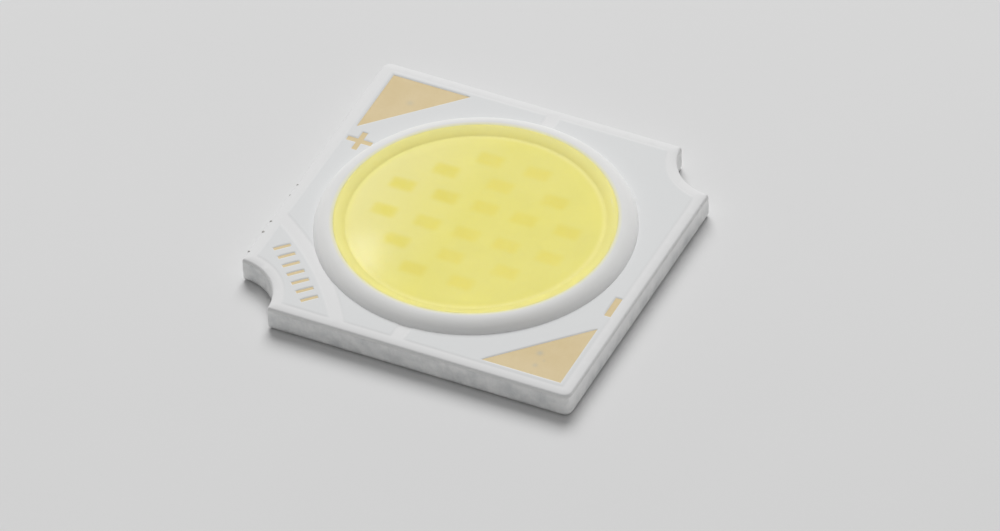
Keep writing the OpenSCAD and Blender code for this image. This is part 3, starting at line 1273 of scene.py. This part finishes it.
@dataclass
class GoldFaces:
    """The bare, gold-plated copper that shows through the mask.

    Attributes:
        stroke: Width of the plus mark's arms.
        bar_count: Number of bars by the notch.
        bar_size: Length and width of a bar.
        bar_pitch: Distance between two bars.
        bar_row_at: Distance of their row from the centre, along the diagonal.
        dent: Depth of a probe mark as a share of the plating's thickness.
        probes: Places where a test probe has touched a pad: X, Y, radius and strength.
    """

    stroke: float = 0.2
    bar_count: int = 7
    bar_size: tuple[float, float] = (0.62, 0.13)
    bar_pitch: float = 0.48
    bar_row_at: float = 6.58
    dent: float = 0.6
    probes: tuple[tuple[float, float, float, float], ...] = (
        (4.81, -5.01, 0.11, 0.7), (4.92, -5.63, 0.09, 0.5), (5.1, -5.3, 0.05, 0.3),
        (-4.93, 4.98, 0.12, 0.35),
    )

    def pad(self, node: str) -> Loop:
        """Returns a pad's triangle, counter-clockwise, from its CAD node's box."""
        low, high = plan_box(node)
        if low[0] < 0.0:
            return np.array([(low[0], high[1]), (low[0], low[1]), (high[0], high[1])])
        return np.array([(high[0], low[1]), (high[0], high[1]), (low[0], low[1])])

    def plus(self) -> Loop:
        """Returns the plus mark's twelve corners."""
        low, high = plan_box("plus_mark")
        centre, arm, w = (low + high) / 2.0, (high - low)[0] / 2.0, self.stroke / 2.0
        quarter = [(arm, -w), (arm, w), (w, w)]
        made: list[tuple[float, float]] = []
        for turn in range(4):
            c, s = round(math.cos(turn * math.pi / 2)), round(math.sin(turn * math.pi / 2))
            made += [(c * x - s * y, s * x + c * y) for x, y in quarter]
        return np.array(made) + centre

    def minus(self) -> Loop:
        """Returns the minus mark's four corners."""
        low, high = plan_box("minus_mark")
        return rectangle((low + high) / 2.0, high - low)

    def bar_places(self) -> np.ndarray:
        """Returns the centres of the bars."""
        along = np.array([-1.0, -1.0]) / math.sqrt(2.0) * self.bar_row_at
        across = np.array([1.0, -1.0]) / math.sqrt(2.0)
        steps = (np.arange(self.bar_count) - (self.bar_count - 1) / 2.0) * self.bar_pitch
        return along + steps[:, None] * across

    def bars(self) -> list[Loop]:
        """Returns the outline of each bar."""
        return [rectangle(at, self.bar_size, math.pi / 4) for at in self.bar_places()]

    def windows(self) -> list[Loop]:
        """Returns every opening that the mask needs."""
        return [self.pad("positive_pad"), self.pad("negative_pad"), self.plus(), self.minus(),
                *self.bars()]

    def plate(self, name: str, loop: Loop, node: str, step: float) -> bpy.types.Object:
        """Builds one thin plated face with its probe marks.

        Args:
            name: Name of the piece.
            loop: Its outline.
            node: CAD node that it replaces.
            step: Distance between the points on it.

        Returns:
            The piece.
        """
        low, high = z_range(node)
        edge = thicken(loop, step)
        spread = [np.arange(edge[:, i].min() + step, edge[:, i].max(), step) for i in (0, 1)]
        grid = np.array([(x, y) for x in spread[0] for y in spread[1]])
        grid = grid[distance_to(grid, edge) < -0.4 * step]
        plan, tris = plan_mesh(edge, spare=grid)
        marks = np.zeros(len(plan))
        for x, y, radius, strength in self.probes:
            away = np.hypot(plan[:, 0] - x, plan[:, 1] - y)
            marks = np.maximum(marks, strength * np.exp(-(away / radius) ** 2))
        shell = Shell()
        shell.sheet(plan, high - (high - low) * self.dent * marks, tris)
        bottom = shell.sheet(plan, np.full(len(plan), low), tris, up=False)
        shell.faces += [(b, a, bottom + a, bottom + b) for a, b in border_edges(tris)]
        piece = shell.piece(name, 35.0)
        note(piece, "probe_mark", np.concatenate([marks, marks]))
        return finish_piece(piece, GOLD, node)

    def build(self) -> None:
        """Builds pads, marks and bars."""
        self.plate("plus_pad_face", self.pad("positive_pad"), "positive_pad", 0.06)
        self.plate("minus_pad_face", self.pad("negative_pad"), "negative_pad", 0.06)
        self.plate("plus_mark_face", self.plus(), "plus_mark", 0.05)
        self.plate("minus_mark_face", self.minus(), "minus_mark", 0.06)
        self.bar_row()

    def bar_row(self) -> bpy.types.Object:
        """Builds the row of bars with Geometry Nodes: one plate, set on each of the places.

        Returns:
            The piece.
        """
        low, high = z_range("marking_bars")
        length, width = self.bar_size
        grove = NodeGrove("bar_row", {"Length": length * MM, "Width": width * MM,
                                      "Height": (high - low) * MM, "Turn": math.pi / 4})
        size = grove.node("ShaderNodeCombineXYZ", X=grove.value("Length"),
                          Y=grove.value("Width"), Z=grove.value("Height"))
        cube = grove.node("GeometryNodeMeshCube", Size=size.outputs[0], Vertices_X=5,
                          Vertices_Y=5)
        place = grove.at_points(cube.outputs["Mesh"])
        turn = grove.node("ShaderNodeCombineXYZ", Z=grove.value("Turn"))
        grove.link(turn.outputs[0], place.inputs["Rotation"])
        grove.finish(place.outputs["Instances"], GOLD.material())
        seeds = np.column_stack([self.bar_places(), np.full(self.bar_count, (low + high) / 2.0)])
        piece = grove.grow("marking_bar_faces", seeds)
        note(piece, "probe_mark", np.zeros(len(piece.data.vertices)))
        return finish_piece(piece, GOLD, "marking_bars")


# ---------------------------------------------------------------- geometry nodes


class NodeGrove(Wiring):
    """A Geometry Nodes tree with named number inputs, used once and turned into a plain mesh."""

    def __init__(self, name: str, values: dict[str, float]) -> None:
        """Makes the tree and its inputs.

        Args:
            name: Name of the tree.
            values: Name and value of each input, lengths in metres.
        """
        self.tree = bpy.data.node_groups.new(name, "GeometryNodeTree")
        self.values = values
        face = self.tree.interface
        face.new_socket("Geometry", in_out="INPUT", socket_type="NodeSocketGeometry")
        face.new_socket("Geometry", in_out="OUTPUT", socket_type="NodeSocketGeometry")
        self.keys = {
            key: face.new_socket(key, in_out="INPUT", socket_type="NodeSocketInt"
                                 if isinstance(value, int) else "NodeSocketFloat").identifier
            for key, value in values.items()
        }
        self.inward = self.node("NodeGroupInput")
        self.start = self.inward.outputs["Geometry"]

    def value(self, key: str) -> bpy.types.NodeSocket:
        """Returns the socket of a named input."""
        return self.inward.outputs[key]

    def at_points(self, instance: bpy.types.NodeSocket) -> bpy.types.Node:
        """Returns a node that sets the instance on each of the tree's own points."""
        points = self.node("GeometryNodeMeshToPoints", Mesh=self.start).outputs["Points"]
        return self.node("GeometryNodeInstanceOnPoints", Points=points, Instance=instance)

    def finish(self, result: bpy.types.NodeSocket, material: bpy.types.Material) -> None:
        """Ends the tree: realises instances and sets the material."""
        real = self.node("GeometryNodeRealizeInstances", Geometry=result)
        dress = self.node("GeometryNodeSetMaterial", Geometry=real.outputs["Geometry"],
                          Material=material)
        self.node("NodeGroupOutput", Geometry=dress.outputs["Geometry"])

    def grow(self, name: str, points: np.ndarray, closed: bool = False) -> bpy.types.Object:
        """Runs the tree on a set of points and keeps the result as a plain mesh.

        Args:
            name: Name of the piece.
            points: N x 3 points in millimetres, which the tree gets as its geometry.
            closed: True joins the points into a closed line.

        Returns:
            The piece, without a modifier.
        """
        count = len(points)
        edges = [(i, (i + 1) % count) for i in range(count)] if closed else []
        seed = bpy.data.meshes.new(name + "_seed")
        seed.from_pydata((points * MM).tolist(), edges, [])
        holder = bpy.data.objects.new(name + "_seed", seed)
        bpy.context.scene.collection.objects.link(holder)
        modifier = holder.modifiers.new("grow", "NODES")
        modifier.node_group = self.tree
        for key, value in self.values.items():
            modifier[self.keys[key]] = value
        ready = holder.evaluated_get(bpy.context.evaluated_depsgraph_get())
        mesh = bpy.data.meshes.new_from_object(ready)
        mesh.name = name
        bpy.data.objects.remove(holder)
        bpy.data.meshes.remove(seed)
        made = bpy.data.objects.new(name, mesh)
        bpy.context.scene.collection.objects.link(made)
        return made


# ---------------------------------------------------------------- dam and phosphor


class Side(Enum):
    """Side of the dam's bead, as the sign of its distance from the crest."""

    INNER = -1
    OUTER = 1


@dataclass
class Dam:
    """The dispensed silicone bead around the light field.

    Attributes:
        ring_r: Radius of the ring at its crest.
        crest: Height of the crest.
        bead_r: Radius of the bead's round section.
        sole: Radius and height where the bead's underside steps, from inside to outside.
        around: Points around the ring.
        waver: How far the bead wanders in plan.
        waver_scale: Waves of that wandering per metre.
        nub: Angle of the closing point in radians, its reach and its width.
    """

    crest: float
    ring_r: float = 5.07
    bead_r: float = 0.6
    sole: tuple[tuple[float, float], ...] = ((4.6, 0.85), (4.6, 0.93), (5.2, 0.93), (5.2, 0.965))
    around: int = 360
    waver: float = 0.006
    waver_scale: float = 330.0
    nub: tuple[float, float, float] = (0.646, 0.045, 0.05)

    @property
    def centre_z(self) -> float:
        """Height of the centre of the bead's section."""
        return self.crest - self.bead_r

    def radius_at(self, z: float, side: Side) -> float:
        """Returns the distance of one side of the bead from the ring's axis at a height."""
        return self.ring_r + side.value * math.sqrt(self.bead_r ** 2 - (z - self.centre_z) ** 2)

    def section(self) -> np.ndarray:
        """Returns the bead's closed section: distance from the crest line, then height."""
        foot_in, foot_out = self.sole[0][1], self.sole[-1][1]
        start = math.pi - math.asin((foot_in - self.centre_z) / self.bead_r)
        end = math.asin((foot_out - self.centre_z) / self.bead_r)
        top = arc((self.ring_r, self.centre_z), self.bead_r - 0.0005, start, end, 44)
        return np.concatenate([top, np.array(self.sole)[::-1]]) - np.array([self.ring_r, 0.0])

    def build(self) -> bpy.types.Object:
        """Sweeps the section around the ring with Geometry Nodes.

        Returns:
            The piece.
        """
        grove = NodeGrove("dam_bead", {"Ring Radius": self.ring_r * MM, "Points": self.around,
                                       "Waver": self.waver * MM, "Seed": 4})
        path = grove.node("GeometryNodeCurvePrimitiveCircle", Resolution=grove.value("Points"),
                          Radius=grove.value("Ring Radius"))
        place = grove.node("GeometryNodeInputPosition").outputs[0]
        drift = grove.node("ShaderNodeTexNoise", Scale=self.waver_scale, Detail=1.0, Vector=place)
        drift.noise_dimensions = "4D"
        grove.feed(drift.inputs["W"], grove.value("Seed"))
        shift = grove.math("MULTIPLY", grove.math("SUBTRACT", drift.outputs["Fac"], 0.5),
                           grove.value("Waver"))
        outwards = grove.node("ShaderNodeVectorMath")
        outwards.operation = "NORMALIZE"
        grove.feed(outwards.inputs[0], place)
        scaled = grove.node("ShaderNodeVectorMath")
        scaled.operation = "SCALE"
        grove.feed(scaled.inputs[0], outwards.outputs[0])
        grove.feed(scaled.inputs["Scale"], shift)
        moved = grove.node("GeometryNodeSetPosition", Geometry=path.outputs["Curve"],
                           Offset=scaled.outputs[0])
        section = grove.node("GeometryNodeMeshToCurve", Mesh=grove.start)
        sweep = grove.node("GeometryNodeCurveToMesh", Curve=moved.outputs["Geometry"],
                           Profile_Curve=section.outputs["Curve"])
        grove.finish(sweep.outputs["Mesh"], DAM_WHITE.material())
        section_points = self.section()
        seed = np.column_stack([section_points[:, 0], -section_points[:, 1],
                                np.zeros(len(section_points))])
        piece = grove.grow("dam_bead", seed, closed=True)
        self.close_bead(piece)
        return finish_piece(piece, DAM_WHITE, "dam_ring")

    def close_bead(self, piece: bpy.types.Object) -> None:
        """Raises the small nub where the nozzle lifted off, and turns the faces outwards.

        Args:
            piece: The swept bead.
        """
        mesh = piece.data
        flat = np.empty(len(mesh.vertices) * 3)
        mesh.vertices.foreach_get("co", flat)
        co = flat.reshape(-1, 3) / MM
        angle, reach, width = self.nub
        foot = self.radius_at(self.sole[-1][1] + 0.06, Side.OUTER) - 0.02
        at = np.array([foot * math.cos(angle), foot * math.sin(angle), self.sole[-1][1] + 0.09])
        lift = reach * np.exp(-((co - at) ** 2).sum(axis=1) / (2.0 * width ** 2))
        co += lift[:, None] * np.array([0.7 * math.cos(angle), 0.7 * math.sin(angle), 0.7])
        mesh.vertices.foreach_set("co", (co * MM).ravel())
        mesh.polygons.foreach_set("use_smooth", [True] * len(mesh.polygons))
        mesh.update()
        face_outwards(mesh)


def face_outwards(mesh: bpy.types.Mesh) -> None:
    """Merges doubles and turns a closed mesh's faces outwards."""
    work = bmesh.new()
    work.from_mesh(mesh)
    bmesh.ops.remove_doubles(work, verts=work.verts, dist=1e-8)
    bmesh.ops.recalc_face_normals(work, faces=work.faces)
    work.to_mesh(mesh)
    work.free()


@dataclass
class LightField:
    """What fills the dam: the settled phosphor bed and the clear gel over it.

    Attributes:
        dam: The dam around the field.
        gel_z: Height of the gel's level middle.
        bed_z: Height of the bed's level top.
        floor: Height of the bed in the trench by the dam.
        trench_r: Radius where the bed starts to fall towards the dam.
        gel_edge_r: Radius where the gel meets the dam.
        climb_w: Width of the rim where the gel climbs.
        grid: Distance between the bed's points.
        skin: Gap between the bed and the dam at the trench.
        soft: Width of a chip's soft edge in the bed's colour, then in its shape.
        flank_w: Width of the strip by the dam with the flank's colour, then of its fade.
        bed_sole: Radius and height of the bed's lowest rings, under the dam.
        gel_sole: The same for the gel.
    """

    dam: Dam
    gel_z: float
    bed_z: float
    floor: float = 1.08
    trench_r: float = 4.05
    gel_edge_r: float = 4.94
    climb_w: float = 0.44
    grid: float = 0.07
    skin: float = 0.012
    soft: tuple[float, float] = (0.3, 0.5)
    flank_w: tuple[float, float] = (0.25, 0.2)
    bed_sole: tuple[tuple[float, float], ...] = ((4.62, 0.92), (4.45, 0.856))
    gel_sole: tuple[tuple[float, float], ...] = (
        (4.75, 1.2), (4.6, 1.02), (4.52, 0.88), (4.40, 0.862),
    )

    @property
    def rim_z(self) -> float:
        """Height where the gel meets the dam."""
        return self.dam.centre_z + math.sqrt(
            self.dam.bead_r ** 2 - (self.dam.ring_r - self.gel_edge_r) ** 2)

    def chip_boxes(self) -> list[tuple[np.ndarray, np.ndarray]]:
        """Returns the plan centre and half size of every chip."""
        found = []
        for name in sorted(frame["nodes"]):
            if name.startswith("led_chip_"):
                low, high = plan_box(name)
                found.append(((low + high) / 2.0, (high - low) / 2.0))
        return found

    def over_chips(self, plan: np.ndarray, spread: float) -> np.ndarray:
        """How far each point is over a chip.

        Args:
            plan: N x 2 points.
            spread: Width of the soft edge.

        Returns:
            N values, 1 over a chip and 0 away from one.
        """
        result = np.zeros(len(plan))
        for centre, half in self.chip_boxes():
            gap = half[None, :] - np.abs(plan - centre)
            share = smooth(gap[:, 0] / spread + 0.5) * smooth(gap[:, 1] / spread + 0.5)
            result = np.maximum(result, share)
        return result

    def heights(self, plan: np.ndarray) -> np.ndarray:
        """The bed's height, which dips a little between the chips.

        Args:
            plan: N x 2 points.

        Returns:
            N heights.
        """
        radius = np.hypot(plan[:, 0], plan[:, 1])
        rim = self.dam.radius_at(self.floor, Side.INNER) - 0.02
        share = smooth((rim - radius) / (rim - self.trench_r))
        cloud = ripple(plan, 1.3, 5.0)
        dip = 0.008 * (1.0 - self.over_chips(plan, self.soft[1])) + 0.005 * (1.0 + cloud)
        return self.floor + (self.bed_z - dip - self.floor) * share

    def settled(self) -> bpy.types.Object:
        """Builds the bed of settled phosphor, draped over the chips and up the dam's flank.

        Returns:
            The piece.
        """
        rim_r = self.dam.radius_at(self.floor, Side.INNER) - self.skin
        side = np.arange(-rim_r, rim_r, self.grid)
        grid = np.array([(x + 0.5 * self.grid * (k % 2), y)
                         for k, y in enumerate(side) for x in side])
        grid = grid[np.hypot(grid[:, 0], grid[:, 1]) < rim_r - 0.05]
        plan, tris = plan_mesh(circle(rim_r, ROUND), spare=grid)
        z = self.heights(plan)
        z[:ROUND] = self.floor
        shell = Shell()
        first = shell.sheet(plan, z, tris)
        top_z = self.rim_z - 0.002
        profile = []
        for z_here in np.linspace(self.floor, top_z, 22)[1:]:
            skin = self.skin * (top_z - z_here) / (top_z - self.floor) + 0.001
            profile.append((self.dam.radius_at(z_here, Side.INNER) - skin, z_here))
        shell.hang([*profile, (self.gel_edge_r + 0.02, top_z - 0.03), *self.bed_sole], first)
        piece = shell.piece("phosphor_bed")
        strip, fade = self.flank_w
        radius = np.hypot(plan[:, 0], plan[:, 1])
        flank = smooth((radius - (rim_r - strip)) / fade)
        rest = shell.count - len(plan)
        note(piece, "over_chip",
             np.concatenate([self.over_chips(plan, self.soft[0]), np.zeros(rest)]))
        note(piece, "flank", np.concatenate([flank, np.ones(rest)]))
        return finish_piece(piece, BED, "phosphor_bed")

    def surface(self) -> np.ndarray:
        """Returns the gel's upper profile from the axis to the dam: radius, then height."""
        rise = self.rim_z - self.gel_z
        start = self.gel_edge_r - self.climb_w
        bend = (self.climb_w ** 2 + rise ** 2) / (2.0 * rise)
        flat = [(r, self.gel_z) for r in np.linspace(0.0, start, 13)[1:]]
        climb = [(r, self.gel_z + bend - math.sqrt(bend ** 2 - (r - start) ** 2))
                 for r in np.linspace(start, self.gel_edge_r, 15)[1:]]
        return np.array(flat + climb)

    def clear(self) -> bpy.types.Object:
        """Builds the clear gel as a closed body.

        Returns:
            The piece.
        """
        shell = Shell()
        middle = shell.add(np.array([(0.0, 0.0, self.gel_z)]))
        (first_r, first_z), *profile = (tuple(p) for p in self.surface())
        first = shell.ring(circle(first_r, ROUND), first_z)
        shell.faces += [(middle, first + i, first + (i + 1) % ROUND) for i in range(ROUND)]
        under_rim = (self.gel_edge_r + 0.015, profile[-1][1] - 0.012)
        shell.hang([*profile, under_rim, *self.gel_sole], first)
        return finish_piece(shell.piece("clear_gel"), GEL, "phosphor_gel")


# ---------------------------------------------------------------- stage


class Face(Enum):
    """Shape of a lamp's face."""

    SQUARE = "SQUARE"
    ROUND = "DISK"


@dataclass(frozen=True)
class Lamp:
    """A flat lamp that faces the part.

    Attributes:
        name: Name of the lamp.
        face: Shape of its face.
        at: Its place.
        size: Side or diameter of its face.
        watts: Its power.
        unseen_by: Kinds of ray that do not see it.
    """

    name: str
    face: Face
    at: tuple[float, float, float]
    size: float
    watts: float
    unseen_by: tuple[str, ...]

    def hang(self) -> None:
        """Adds the lamp to the scene."""
        data = bpy.data.lights.new(self.name, "AREA")
        data.shape = self.face.value
        data.size = self.size * MM
        data.energy = self.watts
        lamp = bpy.data.objects.new(self.name, data)
        lamp.location = Vector(self.at) * MM
        lamp.rotation_mode = "QUATERNION"
        lamp.rotation_quaternion = (-Vector(self.at)).to_track_quat("-Z", "Y")
        for ray in self.unseen_by:
            setattr(lamp, f"visible_{ray}", False)
        bpy.context.scene.collection.objects.link(lamp)


BACK_LAMP = Lamp("back_lamp", Face.SQUARE, (-125.0, 278.0, 425.0), 320.0, 2.2, ("glossy",))
GLINT_LAMP = Lamp("glint", Face.ROUND, (-44.57, 76.65, 80.91), 0.8, 3.0e-5,
                  ("camera", "diffuse", "transmission"))


@dataclass
class Studio:
    """Table, light and camera.

    Attributes:
        face_z: Height of the board's face, which the camera's aim lies on.
        reach: Distance of the table's edges from the part.
        view: The camera's turn about the part, its rise and its roll, in degrees.
        aim: The point on the board's face that the camera looks at.
        away: Distance of the camera from that point.
        lens: Focal length.
    """

    face_z: float
    reach: float = 3000.0
    view: tuple[float, float, float] = (26.848, 41.531, -2.159)
    aim: tuple[float, float] = (1.645, -1.52)
    away: float = 400.5
    lens: float = 419.28

    def table(self) -> None:
        """Lays the table under the part."""
        shell = Shell()
        shell.ring(rectangle((0.0, 0.0), (2 * self.reach, 2 * self.reach)), 0.0)
        shell.cap(0, 4, up=True)
        floor = shell.piece("table_top")
        TABLE.put(floor)

    def lamps(self) -> None:
        """Hangs the large lamp behind and to the left, and the tiny one that glints on the gel."""
        BACK_LAMP.hang()
        GLINT_LAMP.hang()

    def surround(self, light: float = 0.27, seen: float = 0.68) -> None:
        """Makes the world.

        Args:
            light: Its strength as a lamp.
            seen: Its strength as a background, in reflections and through the gel.
        """
        world = bpy.data.worlds.new("surround")
        bpy.context.scene.world = world
        world.use_nodes = True
        tree = world.node_tree
        tree.nodes.clear()
        output = tree.nodes.new("ShaderNodeOutputWorld")
        mix = tree.nodes.new("ShaderNodeMixShader")
        path = tree.nodes.new("ShaderNodeLightPath")
        share = path.outputs["Is Camera Ray"]
        for ray in ("Is Glossy Ray", "Is Transmission Ray"):
            either = tree.nodes.new("ShaderNodeMath")
            either.operation = "MAXIMUM"
            tree.links.new(share, either.inputs[0])
            tree.links.new(path.outputs[ray], either.inputs[1])
            share = either.outputs[0]
        tree.links.new(share, mix.inputs[0])
        for place, strength in ((1, light), (2, seen)):
            background = tree.nodes.new("ShaderNodeBackground")
            background.inputs["Color"].default_value = (1.0, 1.0, 1.0, 1.0)
            background.inputs["Strength"].default_value = strength
            tree.links.new(background.outputs[0], mix.inputs[place])
        tree.links.new(mix.outputs[0], output.inputs["Surface"])

    def camera(self) -> None:
        """Sets the long lens that looks down over the front-right corner."""
        turn, rise, roll = (math.radians(angle) for angle in self.view)
        back = Vector((math.sin(turn) * math.cos(rise), -math.cos(turn) * math.cos(rise),
                       math.sin(rise)))
        right = Vector((0.0, 0.0, 1.0)).cross(back).normalized()
        up = back.cross(right)
        right, up = (right * math.cos(roll) + up * math.sin(roll),
                     up * math.cos(roll) - right * math.sin(roll))
        data = bpy.data.cameras.new("view")
        data.sensor_width = 36.0
        data.lens = self.lens
        data.clip_start, data.clip_end = 0.01, 20.0
        camera = bpy.data.objects.new("view", data)
        place = Matrix((right, up, back)).transposed().to_4x4()
        place.translation = (Vector((*self.aim, self.face_z)) + back * self.away) * MM
        camera.matrix_world = place
        bpy.context.scene.collection.objects.link(camera)
        bpy.context.scene.camera = camera


def dress_hidden_nodes() -> None:
    """Gives the CAD nodes that lie under other layers their finishes."""
    for name in frame["nodes"]:
        if name.endswith("_copper"):
            COPPER.put_on_node(name)
        elif name.startswith("led_chip_"):
            CHIP.put_on_node(name)
        elif name.startswith("bond_wire_"):
            WIRE.put_on_node(name)
        elif name == "die_bonds":
            BOND.put_on_node(name)


def main() -> None:
    """Builds the studio and every piece of the part."""
    logging.basicConfig(level=logging.INFO, format="%(name)s: %(message)s", stream=sys.stdout)
    bpy.context.scene.view_settings.view_transform = "Standard"
    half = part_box("base_plate")[1].x / MM
    face_z = z_range("solder_mask")[1]
    studio = Studio(face_z)
    studio.camera()
    studio.table()
    studio.lamps()
    studio.surround()
    board = Board(Outline(half), z_range("base_plate")[1], z_range("dielectric_layer")[1],
                  z_range("positive_copper")[1], face_z)
    board.base()
    board.laminate()
    board.burrs()
    gold = GoldFaces()
    board.mask(gold.windows())
    gold.build()
    dam = Dam(z_range("dam_ring")[1])
    dam.build()
    light_field = LightField(dam, face_z + GEL_RISE, z_range("phosphor_bed")[1])
    light_field.settled()
    light_field.clear()
    dress_hidden_nodes()


if __name__ == "__main__":
    main()
